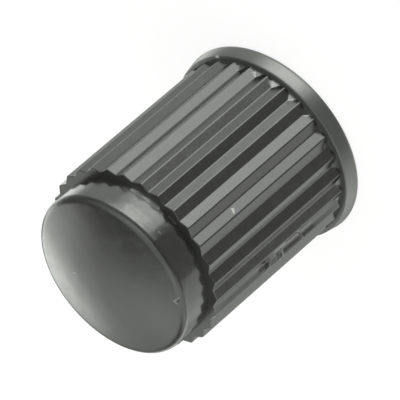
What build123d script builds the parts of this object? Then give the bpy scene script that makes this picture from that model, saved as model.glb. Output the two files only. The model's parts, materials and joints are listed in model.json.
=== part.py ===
from build123d import *
import os
from math import atan2, cos, hypot, pi, sin

# Tyre valve cap, moulded in one piece. Millimetres.
# The cap stands on its open end: the axis is Z, the mouth's rim is at Z 0 and the dome is on top.

# Thread of the valve that the cap screws onto, and the wall around it
thread_diameter = 7.7
thread_height = 0.375
wall_thickness = 0.7

# Grip ribs: V-shaped, with straight flanks
rib_count = 30
rib_depth = 0.2
rib_length = 9.25
crest_radius = 0.1
root_radius = 0.1

# Collar at the mouth: its edge stands out beyond the ribs by the lip, and its wall flares towards the mouth
collar_lip = 0.18
collar_flare = 0.15
collar_height = 0.85
collar_edge_radius = 0.1
mouth_edge_radius = 0.2

# Neck and domed end: the neck is set in from the grooves by the step
neck_step = 0.325
neck_height = 1.66
rim_radius = 0.38
dome_rise = 0.5

# Inside: a plain lead-in, the bore at the thread's inner diameter, a seat for the valve's mouth
# and a recess that clears the valve's pin
lead_in_clearance = 0.15
lead_in_depth = 1.0
lead_in_chamfer = 0.25
bore_entry_chamfer = 0.35
seat_width = 0.775
recess_height = 1.9
recess_chamfer = 0.4
roof_thickness = 1.78

# Radii, from the valve's thread outwards
thread_r = thread_diameter / 2
root_r = thread_r + wall_thickness
crest_r = root_r + rib_depth
collar_r = crest_r + collar_lip
mouth_r = collar_r + collar_flare
neck_r = root_r - neck_step

# Radii of the inside
lead_in_r = thread_r + lead_in_clearance
bore_r = thread_r - thread_height
recess_r = bore_r - seat_width

# Heights along the axis
rib_top = collar_height + rib_length
rim_top = rib_top + neck_height
dome_top = rim_top + dome_rise
recess_top = dome_top - roof_thickness
seat_z = recess_top - recess_height

# Each groove ends in a hollow corner that reaches from its root to the collar's edge
runout_radius = collar_r - root_r


def rib_section():
    """Cross-section of the ribbed barrel: straight flanks with rounded tops and bottoms."""
    half_pitch = pi / rib_count
    run = root_r * sin(half_pitch)
    drop = crest_r - root_r * cos(half_pitch)
    # Half angles between the two flanks at a top and at a bottom
    top_angle = atan2(run, drop)
    bottom_angle = top_angle + half_pitch
    # A rounded corner stands back from its sharp point, so the sharp points lie a little further out and in
    sharp_crest_r = crest_r + crest_radius * (1 / sin(top_angle) - 1)
    sharp_root_r = root_r - root_radius * (1 / sin(bottom_angle) - 1)
    corners = []
    for rib in range(rib_count):
        crest_turn = 2 * half_pitch * rib
        root_turn = crest_turn + half_pitch
        corners.append((sharp_crest_r * cos(crest_turn), sharp_crest_r * sin(crest_turn)))
        corners.append((sharp_root_r * cos(root_turn), sharp_root_r * sin(root_turn)))
    section = make_face(Polyline(*corners, close=True))
    middle_r = (sharp_crest_r + sharp_root_r) / 2
    crests = [v for v in section.vertices() if hypot(v.X, v.Y) > middle_r]
    section = fillet(crests, crest_radius)
    # Each root is now the only kind of vertex that lies at the sharp root radius
    roots = [v for v in section.vertices() if abs(hypot(v.X, v.Y) - sharp_root_r) < root_radius / 10]
    return fillet(roots, root_radius)


def round_corner(face, x, y, radius):
    """Round the one corner of a flat outline that lies at x, y."""
    corner = face.vertices().sort_by_distance((x, y, 0))[0]
    return fillet(corner, radius)


def smooth_body():
    """Everything turned about the axis: collar, run-out of the grooves, core, neck and dome."""
    runout_top = collar_height + runout_radius
    # Dome: an arc that rises from the rim to the axis
    dome_radius = (neck_r ** 2 + dome_rise ** 2) / (2 * dome_rise)
    outline = [
        Line((0, 0), (mouth_r, 0)),
        Line((mouth_r, 0), (collar_r, collar_height)),
        CenterArc((collar_r, runout_top), runout_radius, 180, 90),
        Line((root_r, runout_top), (neck_r, runout_top)),
        Line((neck_r, runout_top), (neck_r, rim_top)),
        RadiusArc((neck_r, rim_top), (0, dome_top), -dome_radius),
        Line((0, dome_top), (0, 0)),
    ]
    half = make_face(outline)
    half = round_corner(half, mouth_r, 0, mouth_edge_radius)
    half = round_corner(half, collar_r, collar_height, collar_edge_radius)
    half = round_corner(half, neck_r, rim_top, rim_radius)
    return revolve(Plane.XZ * half, Axis.Z)


def cavity():
    """The space inside: lead-in, bore, seat and recess, turned about the axis."""
    outline = [
        (0, 0),
        (lead_in_r + lead_in_chamfer, 0),
        (lead_in_r, lead_in_chamfer),
        (lead_in_r, lead_in_depth),
        (bore_r + bore_entry_chamfer, lead_in_depth),
        (bore_r, lead_in_depth + bore_entry_chamfer),
        (bore_r, seat_z),
        (recess_r, seat_z),
        (recess_r, recess_top - recess_chamfer),
        (recess_r - recess_chamfer, recess_top),
        (0, recess_top),
    ]
    half = make_face(Polyline(*outline, close=True))
    return revolve(Plane.XZ * half, Axis.Z)


def valve_cap():
    """The cap: turned body and ribs as one solid, hollowed from the mouth."""
    # The ribs start inside the collar, so that the two bodies share no flat face
    rib_start = collar_height / 2
    ribs = Pos(0, 0, rib_start) * extrude(rib_section(), amount=rib_top - rib_start)
    return smooth_body() + ribs - cavity()


os.makedirs("parts", exist_ok=True)
cap = valve_cap()
cap.label = "valve_cap"
export_step(cap, "parts/valve_cap.step")
print("valve_cap volume", round(cap.volume, 2), "size", cap.bounding_box().size)
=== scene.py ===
# %% [markdown]
# # A tyre valve cap
#
# This lesson dresses the CAD model of a small black valve cap: the moulded plastic piece that screws onto
# a tyre's valve and keeps the dirt out. The CAD model is loaded first, as a frame that never moves, and the
# lesson keeps to its main sizes. Blender then adds what the eye sees: crisp ribs, a real thread, wear and a
# plastic finish. Only the feet of the grooves and the collar's top edge are shaped a little differently.

# %% Load the frame
import bpy
import bmesh
import json
from math import atan2, cos, degrees, exp, hypot, pi, radians, sin, sqrt
from mathutils import Matrix, Vector


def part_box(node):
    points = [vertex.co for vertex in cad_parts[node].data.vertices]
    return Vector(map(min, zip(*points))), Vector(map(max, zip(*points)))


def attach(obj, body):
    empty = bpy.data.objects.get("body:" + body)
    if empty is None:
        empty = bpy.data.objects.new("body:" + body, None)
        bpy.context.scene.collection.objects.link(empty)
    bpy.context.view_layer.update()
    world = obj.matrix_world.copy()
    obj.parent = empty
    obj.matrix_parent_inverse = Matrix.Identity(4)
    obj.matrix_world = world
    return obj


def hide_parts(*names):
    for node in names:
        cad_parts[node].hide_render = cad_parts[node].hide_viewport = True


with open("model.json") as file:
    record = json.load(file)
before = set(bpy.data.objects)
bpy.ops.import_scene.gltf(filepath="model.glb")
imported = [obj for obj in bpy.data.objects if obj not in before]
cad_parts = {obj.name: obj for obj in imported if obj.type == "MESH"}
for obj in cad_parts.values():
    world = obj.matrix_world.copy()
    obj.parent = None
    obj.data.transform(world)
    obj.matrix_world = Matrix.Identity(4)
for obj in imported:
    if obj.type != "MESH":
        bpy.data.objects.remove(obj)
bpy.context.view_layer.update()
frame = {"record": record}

# %% [markdown]
# The sizes come from the frame where it can give them: the box gives the height and the record's mount
# gives the bore. The rest are named in millimetres, the unit that suits so small a piece, in the cell that
# first needs them. One factor turns them into Blender's metres when the points are made.

# %% Sizes
MM = 0.001
cap_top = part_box("valve_cap")[1][2] / MM
thread_mount = next(m for m in frame["record"]["mounts"] if m["name"] == "valve_thread")
bore_r = thread_mount["dims"]["r_mm"]
bore_length = thread_mount["dims"]["length_mm"]
print("height", round(cap_top, 3), "bore radius", bore_r, "bore length", bore_length)

# %% [markdown]
# The camera comes first, so that every later choice can be judged through it. It looks down on the dome
# from a good third of a right angle above the floor, and it is rolled about its own line of sight, which
# is why the standing cap seems to lie across the picture. A long lens far away keeps the ribs parallel.

# %% Camera
camera_turn = radians(-88.79)
camera_rise = radians(34.685)
camera_roll = radians(-130.78)
camera_distance = 240.2
aim = Vector((0.02, 0, 5.35)) * MM
level_share = cos(camera_rise)
outward = Vector((level_share * cos(camera_turn), level_share * sin(camera_turn), sin(camera_rise)))
camera_data = bpy.data.cameras.new("photo_camera")
camera_data.lens = 474.5
camera_data.clip_start = 0.01
camera = bpy.data.objects.new("photo_camera", camera_data)
bpy.context.scene.collection.objects.link(camera)
level = outward.to_track_quat("Z", "Y").to_matrix().to_4x4()
stand = Matrix.Translation(aim + outward * camera_distance * MM)
camera.matrix_world = stand @ level @ Matrix.Rotation(camera_roll, 4, "Z")
bpy.context.scene.camera = camera
print("camera at", [round(c, 4) for c in camera.matrix_world.translation])

# %% [markdown]
# The grip ribs are small V-shaped ridges with flat flanks. A cylinder with a bump texture would look soft
# at the edges, so the cross-section is worked out exactly: a short arc on each crest, a flat flank, a short
# arc in each root. The points of the flanks lie close to the arcs, which keeps the shading between flat.
# Two ribs are torn later on, so they get more points than the others.

# %% Cross-section of the ribs
rib_count = 30
crest_r = 4.75
rib_depth = 0.2
edge_round = 0.1
flank_inset = 0.08
root_r = crest_r - rib_depth
half_pitch = pi / rib_count
flank_tilt = atan2(crest_r - root_r * cos(half_pitch), root_r * sin(half_pitch))
root_tilt = flank_tilt - half_pitch


def rib_points(flank_count):
    """Angle and radius of the points of one rib, from the middle of its crest to the next crest."""
    crest = []
    for share in (0, 0.5, 1):
        lean = flank_tilt * share
        crest.append((crest_r - edge_round + edge_round * cos(lean), edge_round * sin(lean)))
    root = []
    for share in (1, 0.5, 0):
        lean = root_tilt * share
        across = (root_r + edge_round - edge_round * cos(lean), -edge_round * sin(lean))
        root.append(Matrix.Rotation(half_pitch, 2) @ Vector(across))
    flank = []
    for i in range(flank_count):
        share = flank_inset + (1 - 2 * flank_inset) * i / (flank_count - 1)
        flank.append(Vector(crest[-1]).lerp(root[0], share))
    half = [(atan2(y, x), hypot(x, y)) for x, y in crest + flank + root]
    mirrored = [(2 * half_pitch - turn, r) for turn, r in reversed(half[1:-1])]
    return half + mirrored


plain_rib = rib_points(4)
fine_rib = rib_points(13)
fine_ribs = (16, 17)
turns = []
rib_radii = []
for rib in range(rib_count):
    for turn, r in fine_rib if rib in fine_ribs else plain_rib:
        turns.append(2 * half_pitch * rib + turn)
        rib_radii.append(r)
print(len(turns), "points round the cap, flanks lean", round(degrees(flank_tilt), 1))

# %% [markdown]
# The whole cap is one skin. It is drawn as rings, from the hidden end of the recess down the inside, out
# over the rim of the mouth and up the outside to the top of the dome. A ring is a radius and a height, and
# either may change from point to point, which is how the ribs and the thread come in. Smooth parts need
# fewer points than the ribs, so a ring may also meet one with a whole number of times as many points.

# %% Rings and skin
cap_mesh = bmesh.new()
smooth_turns = turns[::3]


def ring(radius, height, ring_turns):
    """One closed row of points. Radius and height are numbers, or lists with one value for each turn."""
    row = []
    for i, turn in enumerate(ring_turns):
        r = radius[i] if isinstance(radius, list) else radius
        z = height[i] if isinstance(height, list) else height
        row.append(cap_mesh.verts.new((r * cos(turn) * MM, r * sin(turn) * MM, z * MM)))
    return row


def skin(first, second):
    """Faces between two rings, one for each point of the ring that has fewer."""
    few, many = (first, second) if len(first) <= len(second) else (second, first)
    share = len(many) // len(few)
    for i in range(len(few)):
        far = [many[(i * share + j) % len(many)] for j in range(share + 1)]
        cap_mesh.faces.new([few[i], few[(i + 1) % len(few)]] + far[::-1])


def skin_rows(rows):
    for first, second in zip(rows, rows[1:]):
        skin(first, second)


def arc(centre_r, centre_height, radius, start, end, count):
    """Radius and height of points along an arc of the cap's profile, with angles from level, outwards."""
    points = []
    for step in range(count + 1):
        lean = start + (end - start) * step / count
        points.append((centre_r + radius * cos(lean), centre_height + radius * sin(lean)))
    return points


print("smooth rings have", len(smooth_turns), "points")

# %% [markdown]
# The thread inside is a right-handed screw. A real thread could be swept along a helix, but then its ends
# have to be trimmed to the bore. Here the bore's own rings are pushed outwards by a wave that climbs one
# pitch in each turn, and the push fades out near both ends, as a moulded thread does.

# %% Inside of the cap
thread_pitch = 0.794
thread_depth = 0.4
thread_slope = 3.2
rows_per_pitch = 14
fade_at_mouth = 0.5
fade_at_seat = 0.9
lead_in_r = 4.0
lead_in_depth = 1.0
lead_in_chamfer = 0.25
entry_chamfer = 0.35
recess_r = 2.7
recess_height = 1.9
recess_chamfer = 0.4
roof_middle_r = 0.05
bore_low = lead_in_depth + entry_chamfer
seat_height = bore_low + bore_length
recess_top = seat_height + recess_height


def thread_wave(turn, height):
    """How far the bore is cut back, from 0 to 1: a flat crest and a flat root with sloped flanks between."""
    phase = (height / thread_pitch - turn / (2 * pi)) % 1
    wave = thread_slope * (abs(phase - 0.5) - 0.25) + 0.5
    fade = min((height - bore_low) / fade_at_mouth, (seat_height - height) / fade_at_seat, 1)
    return min(max(wave, 0), 1) * max(fade, 0)


inside = []
for radius in (roof_middle_r, recess_r / 2, recess_r - recess_chamfer):
    inside.append(ring(radius, recess_top, smooth_turns))
inside.append(ring(recess_r, recess_top - recess_chamfer, smooth_turns))
inside.append(ring(recess_r, seat_height, smooth_turns))
thread_rows = round(bore_length / thread_pitch * rows_per_pitch)
for step in range(thread_rows + 1):
    height = seat_height - bore_length * step / thread_rows
    threaded = [bore_r + thread_depth * thread_wave(turn, height) for turn in smooth_turns]
    inside.append(ring(threaded, height, smooth_turns))
inside.append(ring(bore_r + entry_chamfer, lead_in_depth, smooth_turns))
inside.append(ring(lead_in_r, lead_in_depth, smooth_turns))
inside.append(ring(lead_in_r, lead_in_chamfer, smooth_turns))
inside.append(ring(lead_in_r + lead_in_chamfer, 0, smooth_turns))
cap_mesh.faces.new(inside[0])
skin_rows(inside)
print("inside has", len(inside), "rings of", len(smooth_turns))

# %% [markdown]
# The collar is a plain band that flares a little towards the mouth, with rounded edges and a narrow flat
# ledge on top. The ribs stand on the ledge. Each groove between them slopes outwards just above it, as the
# mould's cutter left it. To get a clean edge where ribs and foot meet, the rings of the foot stop exactly at
# each rib's own radius, so the last ring rises and falls with the ribs.

# %% Collar and feet of the grooves
collar_lip = 0.18
collar_flare = 0.15
collar_height = 0.85
mouth_round = 0.2
collar_round = 0.07
foot_length = 0.34
foot_depth = 0.09
foot_rows = 4
collar_r = crest_r + collar_lip
mouth_r = collar_r + collar_flare
slope = collar_flare / collar_height
wall_lean = atan2(collar_flare, collar_height)
mouth_centre_r = mouth_r - slope * mouth_round - mouth_round / cos(wall_lean)
profile = arc(mouth_centre_r, mouth_round, mouth_round, -pi / 2, wall_lean, 8)
edge_centre_r = collar_r + slope * collar_round - collar_round / cos(wall_lean)
profile += arc(edge_centre_r, collar_height - collar_round, collar_round, wall_lean, pi / 2, 6)
outside = [ring(r, z, turns) for r, z in profile]
foot_top = collar_height + foot_length
foot_ends = [min((r - root_r) / foot_depth, 1) for r in rib_radii]
for step in range(foot_rows + 1):
    shares = [1 + (end - 1) * step / foot_rows for end in foot_ends]
    radii = [max(r, root_r + foot_depth * share) for r, share in zip(rib_radii, shares)]
    outside.append(ring(radii, [foot_top - foot_length * share for share in shares], turns))
print("collar and feet have", len(outside), "rings, mouth radius", round(mouth_centre_r + mouth_round, 3))

# %% [markdown]
# The cap has been used: on one side a knock has torn two ribs, and strips of plastic were dragged across
# the groove between them. Sculpting by hand could not be repeated, so each tear is a stroke: a line on the
# unrolled barrel, with a width and a rise, that lifts or sinks the skin near it. Places on the barrel are
# given as a rib number, counted from the first crest left of the camera, and a height. The groove beside
# the tears is also worn a little deeper.

# %% Torn ribs
rib_length = 9.25
rib_top = collar_height + rib_length
rib_pitch = 2 * half_pitch * crest_r
first_crest_turn = radians(-36)
strips = [
    ([(9.15, 5.2), (9.18, 5.85), (9.5, 6.05), (9.95, 6.3)], 0.07, 0.14),
    ([(9.2, 4.08), (9.55, 3.84), (10.0, 3.64)], 0.07, 0.13),
]
ridge = ([(9.6, 5.2), (10.2, 5.26)], 0.06, 0.07)
gouges = [
    ([(9.7, 5.42), (10.15, 5.52)], 0.06, -0.2),
    ([(9.8, 3.7), (9.92, 3.67)], 0.06, -0.13),
    ([(9.45, 5.95), (9.66, 6.2), (9.62, 6.8)], 0.12, -0.035),
]
worn_groove = [
    ([(9.74, 1.5), (9.7, 9.6)], 0.15, -0.03),
    ([(9.74, 3.0), (9.68, 5.1)], 0.15, -0.03),
]
strokes = strips + [ridge] + gouges + worn_groove
torn_low = 2.9
torn_high = 7.0
torn_ribs = (8.8, 11.0)


def off_line(place, start, end):
    """Distance of a place from a straight line between two places."""
    along = end - start
    share = min(max((place - start).dot(along) / along.dot(along), 0), 1)
    return (place - start - along * share).length


def tear(rib, height):
    """How far the strokes lift the skin there, in mm."""
    place = Vector((rib * rib_pitch, height))
    lift = 0
    for points, width, rise in strokes:
        ends = [Vector((r * rib_pitch, z)) for r, z in points]
        gap = min(off_line(place, start, end) for start, end in zip(ends, ends[1:]))
        lift += rise * exp(-(gap / width) ** 2)
    return lift


def worn_radii(height):
    """The ribs' radii at that height, with the tears, never above the crests."""
    radii = list(rib_radii)
    for i, turn in enumerate(turns):
        rib = ((first_crest_turn - turn) / (2 * half_pitch)) % rib_count
        if torn_ribs[0] < rib < torn_ribs[1]:
            radii[i] = min(radii[i] + tear(rib, height), crest_r)
    return radii


print(len(strokes), "strokes between", torn_low, "and", torn_high, "mm")

# %% [markdown]
# The ribs run straight up to a flat step, where the mould was parted. Their top edge is barely broken. The
# neck above the step is smooth and polished, and a rounded rim leads over to the low dome, which is part of
# a large ball. Rings lie close together only where the ribs are torn.

# %% Ribs, neck and dome
edge_break = 0.03
neck_r = 4.225
rim_round = 0.38
dome_rise = 0.5
above_foot = 0.05
wide_step = 0.4
fine_step = 0.06
height = foot_top + above_foot
while height < rib_top - edge_break:
    outside.append(ring(worn_radii(height), height, turns))
    near_tears = torn_low - wide_step < height < torn_high
    height += fine_step if near_tears else wide_step
outside.append(ring(rib_radii, rib_top - edge_break, turns))
outside.append(ring([r - edge_break for r in rib_radii], rib_top, turns))
ball_r = (neck_r ** 2 + dome_rise ** 2) / (2 * dome_rise)
ball_height = cap_top - ball_r
rim_height = ball_height + sqrt((ball_r - rim_round) ** 2 - (neck_r - rim_round) ** 2)
rim_lean = atan2(rim_height - ball_height, neck_r - rim_round)
profile = [(neck_r, rib_top)]
profile += arc(neck_r - rim_round, rim_height, rim_round, 0, rim_lean, 10)
profile += arc(0, ball_height, ball_r, rim_lean, pi / 2, 26)[1:-1]
outside += [ring(r, z, smooth_turns) for r, z in profile]
skin(inside[-1], outside[0])
skin_rows(outside)
cap_mesh.faces.new(outside[-1])
print("skin has", len(cap_mesh.faces), "faces")

# %% [markdown]
# The rings become one object that stands for the CAD node. Edges sharper than about a third of a right
# angle stay crisp, and everything else is shaded smooth.

# %% The cap
merge_gap = 0.0005
crisp_angle = radians(35)
bmesh.ops.remove_doubles(cap_mesh, verts=cap_mesh.verts, dist=merge_gap * MM)
bmesh.ops.recalc_face_normals(cap_mesh, faces=cap_mesh.faces)
mesh = bpy.data.meshes.new("cap")
cap_mesh.to_mesh(mesh)
cap_mesh.free()
mesh.shade_smooth()
mesh.set_sharp_from_angle(angle=crisp_angle)
cap = bpy.data.objects.new("cap", mesh)
bpy.context.scene.collection.objects.link(cap)
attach(cap, "root")
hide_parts("valve_cap")
print("triangles", sum(len(p.vertices) - 2 for p in mesh.polygons))

# %% [markdown]
# Finishes are easier to read as sums than as a web of nodes. This small class wraps one socket of a node
# tree. Adding, subtracting or multiplying two of them adds a Math node, and any other node comes from the
# one method that names its type, its settings and what goes into its sockets.


# %% Sums of sockets
class Value:
    """One output socket of a node tree, usable in sums."""

    def __init__(self, tree, socket=None):
        self.tree = tree
        self.socket = socket

    def node(self, kind, settings=None, links=None, out=0):
        """Add a node: settings first, then the values or links of its input sockets."""
        made = self.tree.nodes.new(kind)
        for name, setting in (settings or {}).items():
            setattr(made, name, setting)
        for name, link in (links or {}).items():
            if isinstance(link, Value):
                self.tree.links.new(link.socket, made.inputs[name])
            else:
                made.inputs[name].default_value = link
        return Value(self.tree, made.outputs[out] if len(made.outputs) else None)

    def math(self, operation, first, second=0.0):
        return self.node("ShaderNodeMath", {"operation": operation}, {0: first, 1: second})

    def __add__(self, other):
        return self.math("ADD", self, other)

    def __sub__(self, other):
        return self.math("SUBTRACT", self, other)

    def __rsub__(self, other):
        return self.math("SUBTRACT", other, self)

    def __mul__(self, other):
        return self.math("MULTIPLY", self, other)

    __radd__ = __add__
    __rmul__ = __mul__

    def step(self, low, high):
        """A soft step from 0 at low to 1 at high."""
        links = {"Value": self, "From Min": low, "From Max": high}
        return self.node("ShaderNodeMapRange", {"interpolation_type": "SMOOTHSTEP"}, links)

    def vector(self, operation, first, second, out="Vector"):
        links = {0: first, ("Scale" if operation == "SCALE" else 1): second}
        return self.node("ShaderNodeVectorMath", {"operation": operation}, links, out)

    def noise(self, place, scale, detail=2.0, rough=0.5):
        links = {"Vector": place, "Scale": scale, "Detail": detail, "Roughness": rough}
        return self.node("ShaderNodeTexNoise", None, links, "Fac")

    def blend(self, share, first, second):
        """A colour between two, by a share from 0 to 1."""
        links = {"Factor": share, "A": first, "B": second}
        return self.node("ShaderNodeMix", {"data_type": "RGBA"}, links, "Result")


print("sums of sockets are ready")

# %% [markdown]
# The plastic is black, moulded and a little worn. The neck is its most polished part, the ribs and the dome
# are a little duller and the dusty collar is the dullest, so the finish follows the height. This cell makes
# a mask for each part and the noises for what is uneven: a fine grain, a faint grey bloom from handling,
# and the slow waves and small dimples that bend reflections, since moulded plastic is never quite flat.

# %% Black plastic
plastic = bpy.data.materials.new("black_plastic")
plastic.use_nodes = True
tree = plastic.node_tree
shader = next(n for n in tree.nodes if n.type == "BSDF_PRINCIPLED")
make = Value(tree)
place = make.vector("SCALE", make.node("ShaderNodeTexCoord", None, None, "Object"), 1 / MM)
height_mm = make.node("ShaderNodeSeparateXYZ", None, {"Vector": place}, "Z")
on_collar = 1 - height_mm.step(collar_height, collar_height + 0.1)
on_top = height_mm.step(rib_top - 0.05, rib_top)
on_ribs = 1 - on_collar - on_top
on_dome = height_mm.step(rim_height, rim_height + rim_round)
on_neck = on_top - on_dome
grain = make.noise(place, 9.0, 3.0, 0.6)
waves = make.noise(place, 0.7, 1.0)
dimples = make.noise(place, 1.8, 2.0)
smudge = make.noise(place, 1.6, 4.0, 0.6)
bloom = smudge.step(0.42, 0.72)
print("plastic has", len(tree.nodes), "nodes so far")

# %% [markdown]
# A few marks belong to this one cap: a pale fleck on a rib, a small dent and a speck on the dome, a nick on
# the collar's edge, worn and scuffed lines round the neck and the pale torn strips. Some of the neck's lines
# are painted highlight and glint, and a paler band at its foot is painted light. They could be painted on an
# image, but then they would need a map of the skin. Instead each mark is a line between places on the cap,
# and the shader measures how far a point lies from it.

# %% Marks
def on_skin(rib, height, r):
    """A place on the cap in mm, from a rib number, a height and a radius."""
    turn = first_crest_turn - 2 * half_pitch * rib
    return Vector((r * cos(turn), r * sin(turn), height))


def near_line(start, end, width):
    """1 on the straight line between two places, fading to 0 at its width."""
    along = end - start
    offset = make.vector("SUBTRACT", place, start)
    share = make.vector("DOT_PRODUCT", offset, along / along.length_squared, "Value")
    share = make.math("MINIMUM", make.math("MAXIMUM", share, 0.0), 1.0)
    gap = make.vector("DISTANCE", offset, make.vector("SCALE", along, share), "Value")
    return gap.step(width, width / 3)


def mark(places, width):
    """Several places joined by lines, as one mask."""
    mask = near_line(places[0], places[1], width)
    for start, end in zip(places[1:], places[2:]):
        mask = make.math("MAXIMUM", mask, near_line(start, end, width))
    return mask


def neck_mark(ribs, height, width):
    """A line round the neck, as a mask."""
    return mark([on_skin(rib, height, neck_r) for rib in ribs], width)


def dome_place(rib, r):
    return on_skin(rib, ball_height + sqrt(ball_r ** 2 - r ** 2), r)


neck_foot = 10.2
neck_rim = 11.5
fleck_places = [on_skin(5.665, 7.425, 4.62), on_skin(5.845, 7.505, 4.68), on_skin(5.71, 7.365, 4.63)]
fleck = mark(fleck_places, 0.065)
dent = mark([dome_place(7.81, 4.07), dome_place(8.09, 3.77), dome_place(8.22, 3.9)], 0.06)
nick = mark([on_skin(-1.0, 0.84, 4.9), on_skin(-1.12, 0.82, 4.92)], 0.08)
pit = mark([dome_place(8.04, 3.92), dome_place(7.96, 3.98)], 0.08)
speck = mark([dome_place(22.58, 2.07), dome_place(22.82, 1.81)], 0.07)
worn = neck_mark((1.3, 1.9, 2.6, 3.5), neck_foot, 0.3) + neck_mark((1.2, 2.2, 3.2, 4.2), neck_rim, 0.3) * 0.5
# Painted highlight: a brighter patch on the neck near the rim and a light streak along the neck's foot.
painted_neck_highlight = neck_mark((2.4, 2.8, 3.1), 11.2, 0.4) * 0.7 + neck_mark((1.6, 2.2, 2.8, 3.3), neck_foot, 0.13) * 1.8
# Partly painted: a small pale scuff near the rim, and a bright line at the neck's foot painted in as a
# glint.
scuffs_and_foot_glint = neck_mark((4.25, 4.35), 11.06, 0.08) * 0.4 + neck_mark((4.0, 4.5), 10.12, 0.06) * 0.3
rubs_and_painted_highlight = painted_neck_highlight * (0.4 + 0.6 * smudge.step(0.3, 0.65)) + scuffs_and_foot_glint
pale_strips = 0
for places, width, rise in strips:
    pale_strips = pale_strips + mark([on_skin(rib, height, crest_r) for rib, height in places], 0.12)
# Painted light: a paler band at the neck's foot that lifts the dark step mirrored there.
painted_light_neck_foot = on_top - height_mm.step(rib_top + 0.1, rib_top + 0.7)
print("plastic has", len(tree.nodes), "nodes with the marks")

# %% [markdown]
# The masks now become a finish. Colour goes from black to a faint grey with the bloom, and then towards pale
# where there is a mark or dust, where highlight and glint are painted on the neck, and in the band of
# painted light at the neck's foot. Roughness is low, so the plastic mirrors the room, and rises where it is
# worn. The relief is at most three hundredths of a millimetre, which is why bump is enough for it.

# %% Colour, roughness and bump of the plastic
black = (0.008, 0.0084, 0.0066, 1)
grey = (0.016, 0.0167, 0.0152, 1)
pale = (0.6, 0.61, 0.59, 1)
colour = make.blend(bloom * 0.6 + grain * 0.3, black, grey)
# The neck's lines add painted highlight and glint to the real marks.
marks_and_highlights = fleck * 0.7 + dent * 0.15 + speck * 0.09 + nick * 0.5 + rubs_and_painted_highlight * 0.25
# Dust on the collar, the pale torn strips, and the painted light at the neck's foot.
dust_and_painted_light = 0.06 * on_collar + 0.02 * painted_light_neck_foot + 0.06 * pale_strips
colour = make.blend(marks_and_highlights + dust_and_painted_light, colour, pale)
roughness = 0.16 + 0.03 * on_ribs + 0.03 * on_dome + 0.13 * on_collar
roughness = roughness + bloom * 0.05 + grain * 0.04 + worn * 0.3 + fleck * 0.3
relief = grain * (0.0008 + 0.0012 * on_ribs) + waves * 0.01 * (1 - on_ribs)
relief = relief + dimples * 0.012 * on_neck - pit * 0.03
bump = make.node("ShaderNodeBump", None, {"Strength": 1.0, "Distance": MM, "Height": relief}, "Normal")
tree.links.new(colour.socket, shader.inputs["Base Color"])
tree.links.new(roughness.socket, shader.inputs["Roughness"])
tree.links.new(bump.socket, shader.inputs["Normal"])
shader.inputs["IOR"].default_value = 1.6
mesh.materials.append(plastic)
print("plastic has", len(tree.nodes), "nodes")

# %% [markdown]
# The floor is a plain white table. To the camera it is mostly its own white, so that the backdrop stays
# clean, and the rest is lit as any surface is, so it keeps the cap's soft shadow. A white table mirrored in
# every rib would make them all alike, so the table is left out of reflections and the room shows there.
# From below it is see-through, and it lies a hair under the rim, so the mouth can be looked into.

# %% Floor
reach = 0.6
own_white = 0.85
floor_height = -0.01 * MM
floor_mesh = bpy.data.meshes.new("floor")
corners = [(-reach, -reach), (reach, -reach), (reach, reach), (-reach, reach)]
floor_mesh.from_pydata([(x, y, floor_height) for x, y in corners], [], [(0, 1, 2, 3)])
floor = bpy.data.objects.new("floor", floor_mesh)
bpy.context.scene.collection.objects.link(floor)
floor.visible_glossy = False
white = bpy.data.materials.new("white_table")
white.use_nodes = True
white.node_tree.nodes.clear()
table = Value(white.node_tree)
seen = table.node("ShaderNodeLightPath", None, None, "Is Camera Ray")
lit = table.node("ShaderNodeBsdfDiffuse", None, {"Color": (0.95, 0.95, 0.95, 1)})
glow = table.node("ShaderNodeEmission", None, {"Color": (1, 1, 1, 1), "Strength": 1.0})
mixed = table.node("ShaderNodeMixShader", None, {0: seen * own_white, 1: lit, 2: glow})
below = table.node("ShaderNodeNewGeometry", None, None, "Backfacing")
clear = table.node("ShaderNodeBsdfTransparent")
one_sided = table.node("ShaderNodeMixShader", None, {0: below, 1: mixed, 2: clear})
table.node("ShaderNodeOutputMaterial", None, {"Surface": one_sided})
floor_mesh.materials.append(white)
print("floor reaches", reach, "metres each way")

# %% [markdown]
# On glossy black plastic the eye sees little of the plastic and much of the room mirrored in it. The room
# is soft and plain: dim all round, with a tall light box on the left, paler walls at the sides and behind,
# and round lights at the back, at the sides and overhead. Lamps so near a small cap would mirror at a
# different place in each rib, so these lights are painted into the world, where they are endlessly far
# away. Each is a patch with soft edges, placed by its turn from the camera and its rise from level, in
# degrees.

# %% Room
room = bpy.data.worlds.new("room")
room.use_nodes = True
bpy.context.scene.world = room
room.node_tree.nodes.clear()
sky = Value(room.node_tree)
direction = sky.node("ShaderNodeTexCoord", None, None, "Generated")
rise = sky.math("ARCSINE", sky.node("ShaderNodeSeparateXYZ", None, {"Vector": direction}, "Z"))


def toward(turn_from_camera, rise_from_level):
    """A direction of the room as a vector."""
    turn = camera_turn + radians(turn_from_camera)
    level = cos(radians(rise_from_level))
    return (level * cos(turn), level * sin(turn), sin(radians(rise_from_level)))


def edge(value, place, soft):
    """A soft step up at a place in degrees, or down where the softness is negative."""
    return value.step(radians(place - soft / 2), radians(place + soft / 2))


def light_box(low, high, bottom, top, low_soft, high_soft, rise_soft):
    """A patch of wall from one turn to another and from one rise to another."""
    middle = (low + high) / 2
    ahead = sky.vector("DOT_PRODUCT", direction, toward(middle, 0), "Value")
    left = sky.vector("DOT_PRODUCT", direction, toward(middle + 90, 0), "Value")
    turn = sky.math("ARCTAN2", left, ahead)
    across = edge(turn, low - middle, low_soft) * edge(turn, high - middle, -high_soft)
    return across * edge(rise, bottom, rise_soft) * edge(rise, top, -rise_soft)


def round_light(turn, height, inner, outer):
    """A disc that fades from an inner to an outer angle about its middle."""
    near = sky.vector("DOT_PRODUCT", direction, toward(turn, height), "Value")
    return edge(sky.math("ARCCOSINE", near), (inner + outer) / 2, inner - outer)


print("the room can be painted")

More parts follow.
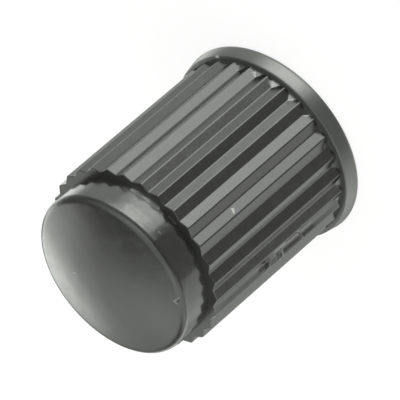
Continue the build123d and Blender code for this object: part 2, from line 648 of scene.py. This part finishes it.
# %% [markdown]
# Each light is a strength and a patch. They were set one after another by asking which part of the room a
# surface mirrors: upright walls and ribs mirror the low patches, the dome those behind the cap, and the
# rounded rim those at the sides and overhead. Together they light the cap at a plain level, so that a colour
# renders about as it is written. The camera itself sees plain white in place of the room.

# %% Lights of the room
tint = (0.972, 1.0, 0.95)
lights = [
    # The light box on the left, its brighter upper part and the wall beyond it
    (3.75, light_box(8, 61, -70, -6, 16, 30, 14)),
    (6.5, light_box(16, 62, -27, -4, 18, 30, 12)),
    (1.1, light_box(60, 100, -70, -10, 30, 30, 20)),
    (0.45, light_box(100, 140, -70, -22, 30, 30, 20)),
    # The wall behind, with a darker strip
    (1.55, light_box(132, 158, -80, 2, 22, 10, 16)),
    (-0.5, light_box(164, 200, -50, 4, 12, 14, 12)),
    # The wall on the right
    (1.12, light_box(-128, -62, -70, -8, 30, 12, 20)),
    (1.2, light_box(-168, -75, -22, -2, 16, 24, 14)),
    # Round lights behind the cap
    (3.8, round_light(160, 8, 8, 26) * edge(rise, 5, 10)),
    (1.6, round_light(176, 12, 4, 13) * edge(rise, 5, 10)),
    (1.2, round_light(-152, 46, 6, 24)),
    (0.85, round_light(-177, 31, 6, 25)),
    (1.5, round_light(160, 33, 3, 13)),
    # Round lights overhead and at the sides
    (1.1, round_light(0, 78, 24, 46)),
    (1.0, round_light(22, 44, 8, 26)),
    (0.8, round_light(70, 45, 10, 45)),
    (1.5, round_light(-82, 34, 16, 44)),
    (0.9, round_light(-124, 55, 6, 22)),
    (0.8, round_light(-112, 11, 6, 20)),
]
brightness = 0.34 + 0.26 * edge(rise, 12, -30)
for strength, patch in lights:
    brightness = brightness + strength * patch
seen = sky.node("ShaderNodeLightPath", None, None, "Is Camera Ray")
colour = sky.blend(seen, sky.vector("SCALE", tint, brightness), (1, 1, 1, 1))
backdrop = sky.node("ShaderNodeBackground", None, {"Color": colour, "Strength": 1.0})
sky.node("ShaderNodeOutputWorld", None, {"Surface": backdrop})
print("room has", len(room.node_tree.nodes), "nodes")

# %% [markdown]
# Last, the plain colour settings.

# %% Finish
bpy.context.scene.view_settings.view_transform = "Standard"
